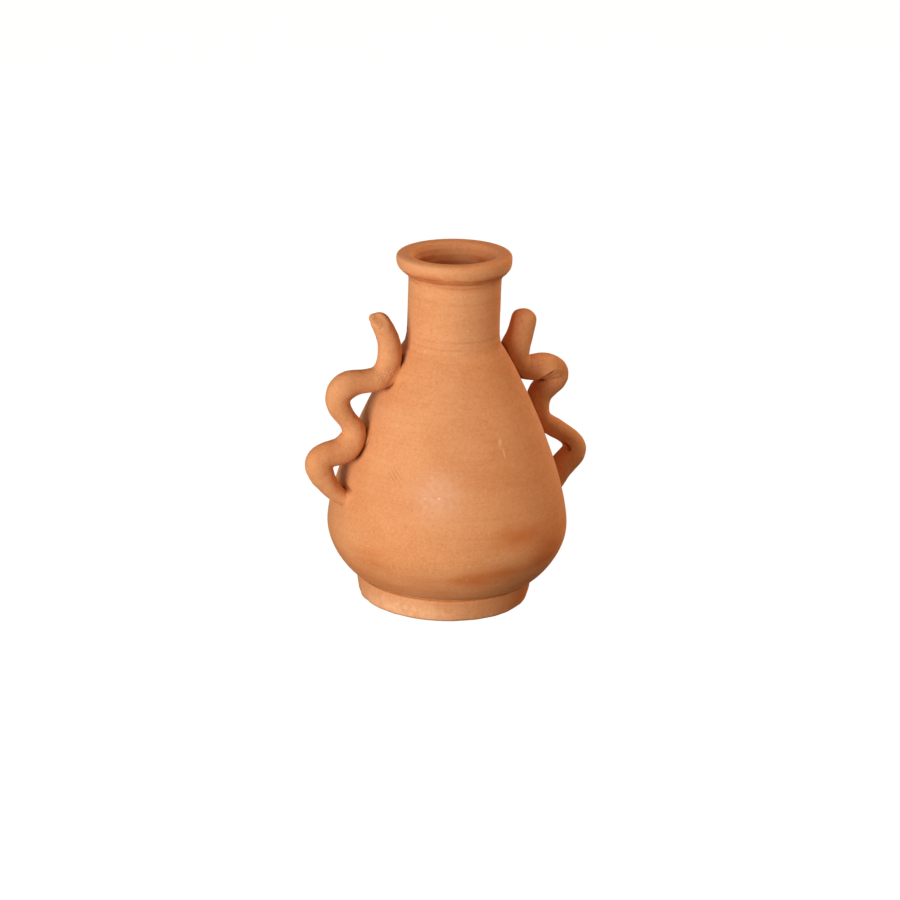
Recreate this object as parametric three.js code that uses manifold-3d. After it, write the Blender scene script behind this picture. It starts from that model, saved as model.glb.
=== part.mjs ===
// Terracotta vase: a thrown pear-shaped belly, a separately thrown neck with a rolled lip, a foot ring
// and two wavy coil handles, all joined with slip.
// Millimetres, +Z up. The table is Z = 0, the vase turns about the Z axis and the handles lie along X.

import * as THREE from "three";
import { mergeVertices } from "three/addons/utils/BufferGeometryUtils.js";
import Module from "manifold-3d";

const wasm = await Module();
wasm.setup();

// Slip joints: the film left in a joint, and the mound squeezed out where a coil is pressed on
const SLIP_FILM = 0.9;
const SLIP_SETBACK = 0.8;
const MOUND_SPREAD_UP = 4.2;
const MOUND_SPREAD_SIDEWAYS = 2.2;
const MOUND_RISE = 3.6;
const CLEARANCE = 0.3;

// Foot ring
const FOOT_HEIGHT = 13;
const FOOT_OVERHANG = 0.5;
const FOOT_TAPER = 1.6;
const FOOT_WALL = 11;
const FOOT_EDGE_ROUND = 1.6;

// Belly
const WALL = 5.5;
const FLOOR = 7;
const FLOOR_ROUND = 9;
const BELLY_HEIGHT = 141.2;
const BELLY_BASE_RADIUS = 49.5;
const BELLY_RADIUS = 68;
const WIDEST_HEIGHT = 29;
const SHOULDER_BLEND = 5.5;
const SHOULDER_STEP = 1.2;
const COLLAR_BAND = 1.7;

// Fullness of the belly's curves: how far each one runs straight on before it turns
const BASE_UNDERCUT = 5;
const LOWER_FULLNESS = 13.5;
const UPPER_FULLNESS = 23;
const SHOULDER_RUN_OUT = 18;
const SHOULDER_RUN_DOWN = 26.5;

// Neck and rolled lip
const NECK_HEIGHT = 44;
const NECK_RADIUS = 25.8;
const LIP_OVERHANG = 6.3;
const LIP_DEPTH = 16.5;
const LIP_COVE = 8;
const LIP_ROLL = 3;
const MOUTH_OPENING = 1.2;
const MOUTH_DEPTH = 17;

// Coil handles
const COIL_RADIUS = 6.4;
const PRESS_DEPTH = 1;
const PRESSED = "pressed";

// Centre line of each coil from its free tip to its luted end. Each station is a drop below the neck joint,
// a reach out from the wall and how much fatter the clay is there. A pressed station lies against the wall.
const LEFT_COIL = [
  [-14, 22, -1.4],
  [-0.5, 14.5, -0.3],
  [12, 8, 0.5],
  [23, PRESSED, 0.6],
  [24, 16.5, 0.2],
  [25.5, 27.5, 1.6],
  [33.5, 28, 0.6],
  [47, 13.5, -1],
  [53, PRESSED, 0.8],
  [63, 9.5, 1.8],
  [64, 19.5, 0.6],
  [67, 24, 2],
  [86.5, 7.5, -1.5],
  [93, -4.5, 0.6],
];
const RIGHT_COIL = [
  [-7.5, 19, 0.8],
  [6.5, 15, 1.4],
  [16, 5.5, 2.6],
  [26.5, PRESSED, 0],
  [26.6, 11.5, 1],
  [25.4, 17, 2],
  [30, 27.3, -0.8],
  [36, 23.5, -1],
  [42.5, 11, 1],
  [57, PRESSED, -1.2],
  [65, 11.5, -0.5],
  [70, 17.5, -1.3],
  [79.5, 20, 1],
  [87.5, 9, 1],
  [97.5, 0.5, 0.2],
];

// Middle of each joint between a coil and the wall, as a drop below the neck joint
const LEFT_JOINTS = [18, 57, 89.5];
const RIGHT_JOINTS = [19.5, 53, 93.5];

// Facets
const TURN_SEGMENTS = 48;
const BELLY_STEPS = 8;
const EDGE_STEPS = 4;
const COIL_SIDES = 12;
const COIL_SPACING = 2.5;
const BEND_SAMPLES = 100;
const BEND_PASSES = 12;
const MOUND_SEGMENTS = 16;
const MOUND_RINGS = 10;

// Radii, and heights above the table, that follow from the sizes above
const FOOT_TOP_RADIUS = BELLY_BASE_RADIUS + FOOT_OVERHANG;
const FOOT_BOTTOM_RADIUS = FOOT_TOP_RADIUS - FOOT_TAPER;
const FOOT_INNER_RADIUS = FOOT_TOP_RADIUS - FOOT_WALL;
const BORE_RADIUS = NECK_RADIUS - WALL;
const MOUTH_RADIUS = BORE_RADIUS + MOUTH_OPENING;
const LIP_RADIUS = NECK_RADIUS + LIP_OVERHANG;
const LIP_TOP_RADIUS = (LIP_RADIUS + MOUTH_RADIUS) / 2;
const BELLY_BASE = FOOT_HEIGHT + SLIP_FILM;
const NECK_JOINT = BELLY_BASE + BELLY_HEIGHT;
const NECK_BASE = NECK_JOINT + SLIP_FILM;
const VASE_HEIGHT = NECK_BASE + NECK_HEIGHT;
const LIP_BASE = VASE_HEIGHT - LIP_DEPTH;

const terracotta = new THREE.MeshStandardMaterial({ color: 0xc9794f, roughness: 0.85, metalness: 0 });
const coilClay = new THREE.MeshStandardMaterial({ color: 0xcb7448, roughness: 0.85, metalness: 0 });
const slip = new THREE.MeshStandardMaterial({ color: 0xb0643d, roughness: 0.9, metalness: 0 });

// Turns a profile of radius and height about the Z axis.
function turned(profile) {
  const geometry = new THREE.LatheGeometry(profile, TURN_SEGMENTS);
  geometry.rotateX(Math.PI / 2);
  return geometry;
}

// Moves each point of a profile square to its run, outward for a positive distance.
function offsetProfile(points, distance) {
  return points.map((point, i) => {
    const before = points[Math.max(i - 1, 0)];
    const after = points[Math.min(i + 1, points.length - 1)];
    const along = new THREE.Vector2().subVectors(after, before).normalize();
    return new THREE.Vector2(point.x + along.y * distance, point.y - along.x * distance);
  });
}

// Outside of the belly from the foot joint up to the neck joint.
function bellyProfile() {
  const widest = BELLY_BASE + WIDEST_HEIGHT;
  const collar = NECK_JOINT - COLLAR_BAND;
  const shoulder = collar - SHOULDER_BLEND;
  const shoulderRadius = NECK_RADIUS + SHOULDER_STEP;
  const path = new THREE.Path();
  path.moveTo(BELLY_BASE_RADIUS, BELLY_BASE);
  path.bezierCurveTo(
    BELLY_BASE_RADIUS + BASE_UNDERCUT, BELLY_BASE,
    BELLY_RADIUS, widest - LOWER_FULLNESS,
    BELLY_RADIUS, widest,
  );
  path.bezierCurveTo(
    BELLY_RADIUS, widest + UPPER_FULLNESS,
    shoulderRadius + SHOULDER_RUN_OUT, shoulder - SHOULDER_RUN_DOWN,
    shoulderRadius, shoulder,
  );
  path.lineTo(NECK_RADIUS, collar);
  path.lineTo(NECK_RADIUS, NECK_JOINT);
  return path.getPoints(BELLY_STEPS);
}

// Radius of the outside wall at a height, up the belly and on up the neck.
function wallRadius(height) {
  if (height >= NECK_JOINT) {
    return NECK_RADIUS;
  }
  const profile = bellyProfile();
  const above = Math.max(profile.findIndex((point) => point.y > height), 1);
  const lower = profile[above - 1];
  const upper = profile[above];
  return THREE.MathUtils.mapLinear(height, lower.y, upper.y, lower.x, upper.x);
}

// Lean of the wall from the vertical around a height, positive where the wall runs inward going up.
function wallLean(height) {
  const fall = wallRadius(height - COIL_RADIUS) - wallRadius(height + COIL_RADIUS);
  return Math.atan(fall / (2 * COIL_RADIUS));
}

// Solid that fills the belly and the neck and stands proud of their wall by a gap.
function wallSolid(gap) {
  const profile = bellyProfile();
  profile.push(new THREE.Vector2(NECK_RADIUS, VASE_HEIGHT));
  const grown = offsetProfile(profile, gap);
  const bottom = new THREE.Vector2(0, grown[0].y);
  const top = new THREE.Vector2(0, VASE_HEIGHT);
  return solidOf(turned([bottom, ...grown, top]));
}

// Hollow belly with its floor.
function belly() {
  const outside = bellyProfile();
  const floorTop = BELLY_BASE + FLOOR;
  const inside = offsetProfile(outside, -WALL).filter((point) => point.y > floorTop + FLOOR_ROUND);
  const corner = new THREE.QuadraticBezierCurve(
    inside[0],
    new THREE.Vector2(inside[0].x - FLOOR_ROUND / 2, floorTop),
    new THREE.Vector2(inside[0].x - 2 * FLOOR_ROUND, floorTop),
  );
  return turned([
    new THREE.Vector2(0, BELLY_BASE),
    ...outside,
    ...inside.reverse(),
    ...corner.getPoints(EDGE_STEPS).slice(1),
    new THREE.Vector2(0, floorTop),
  ]);
}

// Neck tube with the rolled lip at its top.
function neck() {
  const path = new THREE.Path();
  path.moveTo(BORE_RADIUS, NECK_BASE);
  path.lineTo(NECK_RADIUS, NECK_BASE);
  path.lineTo(NECK_RADIUS, LIP_BASE);
  path.bezierCurveTo(
    NECK_RADIUS, LIP_BASE + LIP_COVE,
    LIP_RADIUS, LIP_BASE + LIP_COVE / 2,
    LIP_RADIUS, VASE_HEIGHT - LIP_ROLL,
  );
  path.quadraticCurveTo(LIP_RADIUS, VASE_HEIGHT, LIP_TOP_RADIUS, VASE_HEIGHT);
  path.quadraticCurveTo(MOUTH_RADIUS, VASE_HEIGHT, MOUTH_RADIUS, VASE_HEIGHT - LIP_ROLL);
  path.quadraticCurveTo(BORE_RADIUS, VASE_HEIGHT - 2 * LIP_ROLL, BORE_RADIUS, VASE_HEIGHT - MOUTH_DEPTH);
  path.lineTo(BORE_RADIUS, NECK_BASE);
  return turned(path.getPoints(EDGE_STEPS));
}

// Ring under the belly, with its bottom edges rounded where it meets the table.
function footRing() {
  const path = new THREE.Path();
  path.moveTo(FOOT_INNER_RADIUS, FOOT_HEIGHT);
  path.lineTo(FOOT_INNER_RADIUS, FOOT_EDGE_ROUND);
  path.quadraticCurveTo(FOOT_INNER_RADIUS, 0, FOOT_INNER_RADIUS + FOOT_EDGE_ROUND, 0);
  path.lineTo(FOOT_BOTTOM_RADIUS - FOOT_EDGE_ROUND, 0);
  path.quadraticCurveTo(FOOT_BOTTOM_RADIUS, 0, FOOT_BOTTOM_RADIUS, FOOT_EDGE_ROUND);
  path.lineTo(FOOT_TOP_RADIUS, FOOT_HEIGHT);
  path.lineTo(FOOT_INNER_RADIUS, FOOT_HEIGHT);
  return turned(path.getPoints(EDGE_STEPS));
}

// Flat film of slip between two rings that sit on each other.
function slipRing(innerRadius, outerRadius, height) {
  const path = new THREE.Path();
  path.moveTo(innerRadius + SLIP_SETBACK, height);
  path.lineTo(outerRadius - SLIP_SETBACK, height);
  path.lineTo(outerRadius - SLIP_SETBACK, height + SLIP_FILM);
  path.lineTo(innerRadius + SLIP_SETBACK, height + SLIP_FILM);
  path.lineTo(innerRadius + SLIP_SETBACK, height);
  return turned(path.getPoints());
}

// Line through a coil's stations, which lies in the plane of the handles: x and z give the place, and y
// the swell there. Side is -1 for the left handle and 1 for the right.
function stationLine(stations, side) {
  const points = stations.map(([drop, reach, swell]) => {
    const height = NECK_JOINT - drop;
    const pressedReach = (COIL_RADIUS + swell - PRESS_DEPTH) / Math.cos(wallLean(height));
    const out = reach === PRESSED ? pressedReach : reach;
    return new THREE.Vector3(side * (wallRadius(height) + out), swell, height);
  });
  return new THREE.CatmullRomCurve3(points);
}

// Evens out a line between its two ends, because a roll of clay keeps no sharp bends.
function softened(line) {
  let points = line.getSpacedPoints(BEND_SAMPLES);
  for (let pass = 0; pass < BEND_PASSES; pass += 1) {
    points = points.map((point, i) => {
      if (i === 0 || i === BEND_SAMPLES) {
        return point;
      }
      const between = points[i - 1].clone().lerp(points[i + 1], 0.5);
      return between.lerp(point, 0.5);
    });
  }
  return new THREE.CatmullRomCurve3(points);
}

// Shares of a coil's length that get a ring: close together round the free tip, then evenly spaced.
function ringShares(length) {
  const shares = [];
  for (let i = 1; i <= EDGE_STEPS; i += 1) {
    const angle = (i / EDGE_STEPS) * (Math.PI / 2);
    shares.push((COIL_RADIUS * (1 - Math.cos(angle))) / length);
  }
  const tipShare = COIL_RADIUS / length;
  const count = Math.round((length - COIL_RADIUS) / COIL_SPACING);
  for (let i = 1; i <= count; i += 1) {
    shares.push(THREE.MathUtils.lerp(tipShare, 1, i / count));
  }
  return shares;
}

// Radius of the clay at a length along a coil, rounded off at the free tip.
function clayRadius(swell, along) {
  const shortOfRound = Math.max(1 - along / COIL_RADIUS, 0);
  return (COIL_RADIUS + swell) * Math.sqrt(1 - shortOfRound ** 2);
}

// Corners of the round of clay at a share of a coil's length, grown by a gap.
function coilRing(curve, share, gap) {
  const place = curve.getPointAt(share);
  const radius = clayRadius(place.y, share * curve.getLength()) + gap;
  const across = new THREE.Vector3(0, 1, 0);
  const along = curve.getTangentAt(share).setY(0).normalize();
  const outward = new THREE.Vector3().crossVectors(across, along);
  const corners = [];
  for (let i = 0; i < COIL_SIDES; i += 1) {
    const angle = (i / COIL_SIDES) * 2 * Math.PI;
    const corner = new THREE.Vector3(place.x, 0, place.z).addScaledVector(outward, radius * Math.cos(angle));
    corners.push(corner.addScaledVector(across, radius * Math.sin(angle)).toArray());
  }
  return corners;
}

// Largest piece of a solid, without the bubbles that joining can leave in it.
function largestPiece(solid) {
  return solid.decompose().reduce((largest, piece) => (piece.volume() > largest.volume() ? piece : largest));
}

// Solid coil along its centre line, grown by a gap where it cuts its neighbours. It is joined from the short
// lengths between its rings, so that its runs merge where it is folded tight.
function coil(stations, side, gap) {
  const curve = softened(stationLine(stations, side));
  const tip = curve.getPointAt(0).setY(0).addScaledVector(curve.getTangentAt(0).setY(0), -gap);
  const rings = ringShares(curve.getLength()).map((share) => coilRing(curve, share, gap));
  const lengths = rings.map((ring, i) => wasm.Manifold.hull([...(rings[i - 1] ?? [tip.toArray()]), ...ring]));
  return largestPiece(wasm.Manifold.union(lengths));
}

// Low mound of slip on the wall at a joint, before it is cut to the wall and the coil.
function slipMound(drop, side) {
  const height = NECK_JOINT - drop;
  const mound = new THREE.SphereGeometry(1, MOUND_SEGMENTS, MOUND_RINGS);
  mound.scale(MOUND_RISE, COIL_RADIUS + MOUND_SPREAD_SIDEWAYS, COIL_RADIUS + MOUND_SPREAD_UP);
  mound.rotateY(-side * wallLean(height));
  mound.translate(side * wallRadius(height), 0, height);
  return mound;
}

// Solid for cutting, from a closed geometry.
function solidOf(geometry) {
  const bare = geometry.clone();
  bare.deleteAttribute("normal");
  bare.deleteAttribute("uv");
  const merged = mergeVertices(bare, 1e-4);
  return new wasm.Manifold(new wasm.Mesh({
    numProp: 3,
    vertProperties: new Float32Array(merged.attributes.position.array),
    triVerts: new Uint32Array(merged.index.array),
  }));
}

// Geometry from a solid that has been cut.
function geometryOf(solid) {
  const mesh = solid.getMesh();
  const geometry = new THREE.BufferGeometry();
  geometry.setAttribute("position", new THREE.Float32BufferAttribute(mesh.vertProperties, 3));
  geometry.setIndex(Array.from(mesh.triVerts));
  geometry.computeVertexNormals();
  return geometry;
}

const vase = new THREE.Group();
vase.name = "terracotta_vase";

function addPiece(name, geometry, material) {
  const piece = new THREE.Mesh(geometry, material);
  piece.name = name;
  vase.add(piece);
}

// Coil cut back from the wall to leave room for slip, and the slip at each of its joints.
function addHandle(name, stations, joints, side) {
  const slipTop = CLEARANCE + SLIP_FILM;
  const handle = coil(stations, side, 0).subtract(wallSolid(slipTop + CLEARANCE));
  addPiece(name, geometryOf(handle), coilClay);
  const handleSpace = coil(stations, side, CLEARANCE).subtract(wallSolid(slipTop));
  const wallSpace = wallSolid(CLEARANCE);
  ["upper", "middle", "lower"].forEach((place, i) => {
    const mound = solidOf(slipMound(joints[i], side)).subtract(wallSpace).subtract(handleSpace);
    addPiece(`${name}_${place}_slip`, geometryOf(mound), slip);
  });
}

addPiece("foot_ring", footRing(), terracotta);
addPiece("foot_joint_slip", slipRing(FOOT_INNER_RADIUS, FOOT_TOP_RADIUS, FOOT_HEIGHT), slip);
addPiece("belly", belly(), terracotta);
addPiece("neck_joint_slip", slipRing(BORE_RADIUS, NECK_RADIUS, NECK_JOINT), slip);
addPiece("neck_with_lip", neck(), terracotta);
addHandle("left_handle", LEFT_COIL, LEFT_JOINTS, -1);
addHandle("right_handle", RIGHT_COIL, RIGHT_JOINTS, 1);

export default vase;
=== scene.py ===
# A hand-thrown terracotta vase with two wavy coil handles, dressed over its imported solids.
# Lengths are millimetres and become metres as each mesh is made. The handles lie along X.
import math

import bmesh
import bpy
import numpy as np
from mathutils import Matrix, Vector, noise


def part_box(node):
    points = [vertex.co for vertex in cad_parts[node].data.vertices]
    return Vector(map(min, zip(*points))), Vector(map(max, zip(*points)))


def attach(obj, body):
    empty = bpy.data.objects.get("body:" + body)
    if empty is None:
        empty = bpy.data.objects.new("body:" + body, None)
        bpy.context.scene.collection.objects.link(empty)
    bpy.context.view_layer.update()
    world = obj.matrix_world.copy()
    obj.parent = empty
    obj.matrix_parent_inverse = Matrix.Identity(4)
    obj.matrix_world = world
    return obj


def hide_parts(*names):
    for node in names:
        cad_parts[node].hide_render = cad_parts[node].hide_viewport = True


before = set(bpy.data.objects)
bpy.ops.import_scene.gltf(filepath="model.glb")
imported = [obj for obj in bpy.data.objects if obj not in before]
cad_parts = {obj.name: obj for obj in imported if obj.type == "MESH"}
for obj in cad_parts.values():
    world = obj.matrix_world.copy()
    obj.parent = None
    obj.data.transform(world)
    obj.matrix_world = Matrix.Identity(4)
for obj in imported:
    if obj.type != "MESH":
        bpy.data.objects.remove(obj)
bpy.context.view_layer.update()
MM = 0.001


def corners(node):
    """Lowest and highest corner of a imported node, in millimetres."""
    low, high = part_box(node)
    return np.array(low) / MM, np.array(high) / MM


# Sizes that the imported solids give
FOOT_RADIUS, _, FOOT_HEIGHT = corners("foot_ring")[1]
BELLY_BASE = corners("belly")[0][2]
BELLY_RADIUS, _, NECK_JOINT = corners("belly")[1]
NECK_BASE = corners("neck_with_lip")[0][2]
LIP_RADIUS, _, VASE_HEIGHT = corners("neck_with_lip")[1]

# Foot ring
FOOT_TAPER = 1.6
FOOT_WALL = 11
FOOT_EDGE_ROUND = 1.6
FOOT_TOP_ROUND = 1.4
FOOT_SHIFT = 0.6

# Wear of the foot's bottom edge: depth, height, middle and half angle in degrees, and chips along it
WEAR_DEPTH = 0.6
WEAR_HEIGHT = 6
WEAR_AZIMUTH = -38
WEAR_HALF_ANGLE = 28
CHIP_DEPTH = 0.8
CHIP_SIZE = 7

# Belly
WALL = 5.5
FLOOR = 7
FLOOR_ROUND = 9
BELLY_BASE_RADIUS = 49.5
WIDEST_HEIGHT = 29
SHOULDER_BLEND = 5.5
SHOULDER_STEP = 1.2
COLLAR_BAND = 1.7
COLLAR_LAND = 1
SEAM_ROUND = 0.06

# Fullness of the belly's curves: how far each one runs straight on before it turns
BASE_UNDERCUT = 5
LOWER_FULLNESS = 13.5
UPPER_FULLNESS = 23
SHOULDER_RUN_OUT = 18
SHOULDER_RUN_DOWN = 26.5

# Neck and rolled lip
NECK_RADIUS = 25.8
BORE_RADIUS = NECK_RADIUS - WALL
LIP_DEPTH = 16.5
LIP_COVE = 8
LIP_ROLL = 3
MOUTH_OPENING = 3
MOUTH_ROLL = 3
MOUTH_DEPTH = 17
LIP_TILT = 0.8
LIP_SHIFT = 0.9

# Seam and tool lines round the neck: height above the table, depth and half width
NECK_LINES = [
    (151.1, 0.1, 0.8),
    (155.4, 0.1, 0.8),
    (176.9, 0.08, 1.3),
    (185.8, 0.2, 0.7),
    (188.4, 0.25, 0.7),
    (191, 0.25, 0.7),
]

# How unevenly the lines are cut: their usual share of the depth, how far it varies and over what length
LINE_SHARE = 0.7
LINE_VARIATION = 0.5
LINE_VARIATION_SIZE = 18
LINE_STRETCH = (1, 1, 0.2)

# How far inside the neck's radius a point may lie and still count as its outside
NECK_SKIN = 1

# Throwing rings in the bore, and how far they wander
THROWING_PITCH = 3.4
THROWING_DEPTH = 0.14
THROWING_WANDER = 2
THROWING_WANDER_SIZE = 30

# Coil handles, and the way along X to each of them
LEFT = -1
RIGHT = 1
COIL_RADIUS = 6.4
PRESS_DEPTH = 1
PRESSED = None
TIP_BLUNTNESS = 2.3

# Centre line of each coil from its free tip to its luted end. Each station is a drop below the neck joint,
# a reach out from the wall and how much fatter the clay is there. A pressed station lies against the wall.
LEFT_COIL = [
    (-14, 22, -1.4),
    (-0.5, 14.5, -0.3),
    (12, 8, 0.5),
    (23, PRESSED, 0.6),
    (24, 16.5, 0.2),
    (25.5, 27.5, 1.6),
    (33.5, 28, 0.6),
    (47, 13.5, -1),
    (53, PRESSED, 0.8),
    (63, 9.5, 1.8),
    (64, 19.5, 0.6),
    (67, 24, 2),
    (86.5, 7.5, -1.5),
    (93, -4.5, -2.6),
]
RIGHT_COIL = [
    (-8.5, 19.2, 0.8),
    (6.5, 15, 1.4),
    (16, 5.5, 2.6),
    (26.5, PRESSED, 0),
    (26.6, 11.5, 1),
    (25.4, 17, 2),
    (30, 27.3, -0.8),
    (36, 23.5, -0.4),
    (42.5, 11, 1.5),
    (57, PRESSED, -1.2),
    (65, 11.5, -0.5),
    (70, 17.5, -1.3),
    (79.5, 20, 1),
    (87.5, 9, 1),
    (97.5, 0.5, 0.2),
]

# Sways of a coil out of the plane of the handles: distance from its tip, half length and distance to the back
LEFT_SWAYS = []
RIGHT_SWAYS = [
    (52, 9, -3.6),
    (76, 10, 2.6),
]

# Joints between each coil and the wall: drop of the middle below the neck joint, how far the coil is smeared
# along the wall, and half the width of the slip mound
LEFT_JOINTS = {"upper": (20, 3.2, 12), "middle": (57, 0, 6), "lower": (89.5, 0.6, 11)}
RIGHT_JOINTS = {"upper": (19.5, 0.5, 6), "middle": (53, 0.2, 6), "lower": (93.5, 0.8, 10)}
SMEAR_HEIGHT = 4
SMEAR_SPAN = 10

# Dents and folds of the coils: middle, long direction, half length, half width, depth and painted shade
LEFT_DENTS = [
    ((-47.4, -3.9, 166.3), (0.6, -0.5, -0.6), 5.4, 2.9, 1.4, 0.3),
    ((-49.4, 0.6, 167.0), (0.69, -0.69, -0.2), 2.2, 2.2, -1.2, 0),
    ((-46.4, -5.1, 161.8), (0.69, -0.69, 0.2), 1.2, 0.6, 0.5, 0.05),
    ((-43.7, -6.2, 132.6), (0.6, -0.2, 0.7), 2.2, 0.5, 0.5, 0.05),
    ((-45.3, -3.8, 139.5), (0.2, -0.1, 1), 1.6, 0.5, 0.4, 0.05),
]
RIGHT_DENTS = [
    ((39.5, -6.0, 158.2), (0, 0, 1), 0.6, 0.5, 0.7, 0.3),
    ((52.1, -8.0, 131.6), (1, 0, -0.1), 3.6, 0.9, 0.5, 0.05),
    ((52.1, -8.2, 133.3), (1, 0, -0.1), 3.8, 0.8, -0.5, 0),
    ((57.6, -7.8, 122.2), (0.64, -0.5, 0.58), 6.5, 3.4, 1.6, 0),
    ((55.5, -8.2, 124.9), (0.64, -0.5, 0.58), 5.5, 1.2, 1.2, 0.95),
    ((72.9, -3.4, 79.9), (0.66, -0.27, -0.71), 3.6, 1.2, 1.6, 0.6),
]

# Form of a dent: how square its sides are, and the height, place and half width of the rim round it
DENT_SQUARENESS = 4
RIM_SHARE = 0.1
RIM_PLACE = 1.6
RIM_HALF_WIDTH = 0.45

# Slip in the turned joints, and the mounds squeezed out at the handles
SLIP_SETBACK = 0.3
SLIP_SMEAR = 1.2
SLIP_RIDGE = 0.2
MOUND_HALF_HEIGHT = 7.5
MOUND_RISE = 2.4
MOUND_STEEPNESS = 1.6
MOUND_SINK = 0.15
MOUND_VARIATION = 0.22
MOUND_VARIATION_SIZE = 0.9
EMBED = 0.9

# How far the hand-worked clay strays from a true form, and how long each lump or ridge is. The wall's ridges
# are drawn out round the vase.
WALL_STRAY = 0.35
WALL_STRAY_SIZE = 70
BROAD_RIDGE = 0.1
BROAD_RIDGE_SIZE = 12
FINE_RIDGE = 0.025
FINE_RIDGE_SIZE = 3.5
RIDGE_STRETCH = (0.1, 0.1, 1)
COIL_LUMP = 0.4
COIL_LUMP_SIZE = 13
COIL_NICK = 0.18
COIL_NICK_SIZE = 4.5

# Least radius that a move in or out is divided by
NEAR_AXIS = 1

# Seeds of the clay's noises, and how far apart two seeds lie
STRAY_SEED = 1
BROAD_RIDGE_SEED = 2
FINE_RIDGE_SEED = 3
LINE_SEED = 5
THROWING_SEED = 6
CHIP_SEED = 7
LEFT_SEED = 10
RIGHT_SEED = 20
SEED_STRIDE = (17.3, 5.9, 11.1)

# Fineness of the meshes
SEGMENTS = 288
FINE_STEP = 0.8
COARSE_STEP = 2.5
CURVE_STEPS = 60
COIL_SIDES = 44
COIL_STEP = 0.7
COIL_VOXEL = 0.45
COIL_EASING = 6
TIP_RINGS = 14
BEND_SAMPLES = 101
BEND_PASSES = 12
MOUND_RINGS = 14
MOUND_SIDES = 48

# Camera, as it stands to the vase: degrees, and millimetres from the middle of the foot
CAMERA_AZIMUTH = -26
CAMERA_ELEVATION = 21.6
CAMERA_DISTANCE = 1657.8
CAMERA_ROLL = 2.0
CAMERA_LENS = 115.6
CAMERA_AIM = (0.5, 0, 84.8)
CAMERA_TURN = math.radians(CAMERA_AZIMUTH)
CAMERA_RIGHT = np.array([math.cos(CAMERA_TURN), math.sin(CAMERA_TURN), 0])


def clay_noise(points, size, seed):
    """Smooth noise from -1 to 1 at points, with lumps about size across."""
    shift = Vector([stride * seed for stride in SEED_STRIDE])
    return np.array([noise.noise(Vector(point) / size + shift) for point in points.tolist()])


def smooth_step(values):
    """Eases values from 0 to 1, held at both ends."""
    share = np.clip(values, 0, 1)
    return share * share * (3 - 2 * share)


def hump(values, middle, half_width):
    """A soft hump, 1 at its middle."""
    return np.exp(-(((values - middle) / half_width) ** 2))


def axis_radius(points):
    """Distance of points from the vase's axis."""
    return np.hypot(points[:, 0], points[:, 1])


def widened(points, scale):
    """Points moved in or out from the axis by a scale for each."""
    return points * np.stack([scale, scale, np.ones_like(scale)], axis=1)


# Curves and outlines

def bezier(*handles):
    """Points along a Bezier curve with these handles."""
    share = np.linspace(0, 1, CURVE_STEPS)[:, None]
    level = [np.array(handle, float) for handle in handles]
    while len(level) > 1:
        level = [near + (far - near) * share for near, far in zip(level, level[1:])]
    return level[0]


def evenly(points, count):
    """A line's points spread again at even distances along it."""
    runs = np.linalg.norm(np.diff(points, axis=0), axis=1)
    along = np.concatenate([[0], np.cumsum(runs)])
    places = np.linspace(0, along[-1], count)
    return np.stack([np.interp(places, along, column) for column in points.T], axis=1)


def spaced(step, *stretches):
    """Stretches of a line joined end to end, with a point about every step."""
    line = np.vstack([np.array(stretch, float) for stretch in stretches])
    length = np.linalg.norm(np.diff(line, axis=0), axis=1).sum()
    return evenly(line, max(2, round(length / step) + 1))


def belly_wall():
    """Outside of the belly, as radius and height, from the foot joint up to the neck joint."""
    widest = BELLY_BASE + WIDEST_HEIGHT
    collar = NECK_JOINT - COLLAR_BAND
    shoulder = collar - SHOULDER_BLEND
    shoulder_radius = NECK_RADIUS + SHOULDER_STEP
    lower = bezier(
        (BELLY_BASE_RADIUS, BELLY_BASE),
        (BELLY_BASE_RADIUS + BASE_UNDERCUT, BELLY_BASE),
        (BELLY_RADIUS, widest - LOWER_FULLNESS),
        (BELLY_RADIUS, widest),
    )
    upper = bezier(
        (BELLY_RADIUS, widest),
        (BELLY_RADIUS, widest + UPPER_FULLNESS),
        (shoulder_radius + SHOULDER_RUN_OUT, shoulder - SHOULDER_RUN_DOWN),
        (shoulder_radius, shoulder),
    )
    blend = bezier((shoulder_radius, shoulder), (NECK_RADIUS, collar), (NECK_RADIUS, NECK_JOINT - SEAM_ROUND))
    return np.vstack([lower, upper[1:], blend[1:]])


BELLY_WALL = belly_wall()


def wall_radius(height):
    """Radius of the outside wall at heights up the belly and on up the neck."""
    return np.interp(height, BELLY_WALL[:, 1], BELLY_WALL[:, 0])


def wall_lean(height):
    """Lean of the wall from the vertical, positive where it runs inward going up."""
    fall = wall_radius(height - COIL_RADIUS) - wall_radius(height + COIL_RADIUS)
    return math.atan(fall / (2 * COIL_RADIUS))


def foot_outline():
    """Foot ring as a closed outline, with its edges rounded."""
    inner = FOOT_RADIUS - FOOT_WALL
    bottom = FOOT_RADIUS - FOOT_TAPER
    edge = FOOT_EDGE_ROUND
    top = FOOT_TOP_ROUND
    outside = spaced(
        FINE_STEP,
        bezier((bottom - edge, 0), (bottom, 0), (bottom, edge)),
        bezier(
            (FOOT_RADIUS, FOOT_HEIGHT - top),
            (FOOT_RADIUS, FOOT_HEIGHT),
            (FOOT_RADIUS - top, FOOT_HEIGHT),
        ),
    )
    inside = spaced(
        COARSE_STEP,
        [(inner, FOOT_HEIGHT)],
        bezier((inner, edge), (inner, 0), (inner + edge, 0)),
    )
    return np.vstack([outside, inside])


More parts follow.
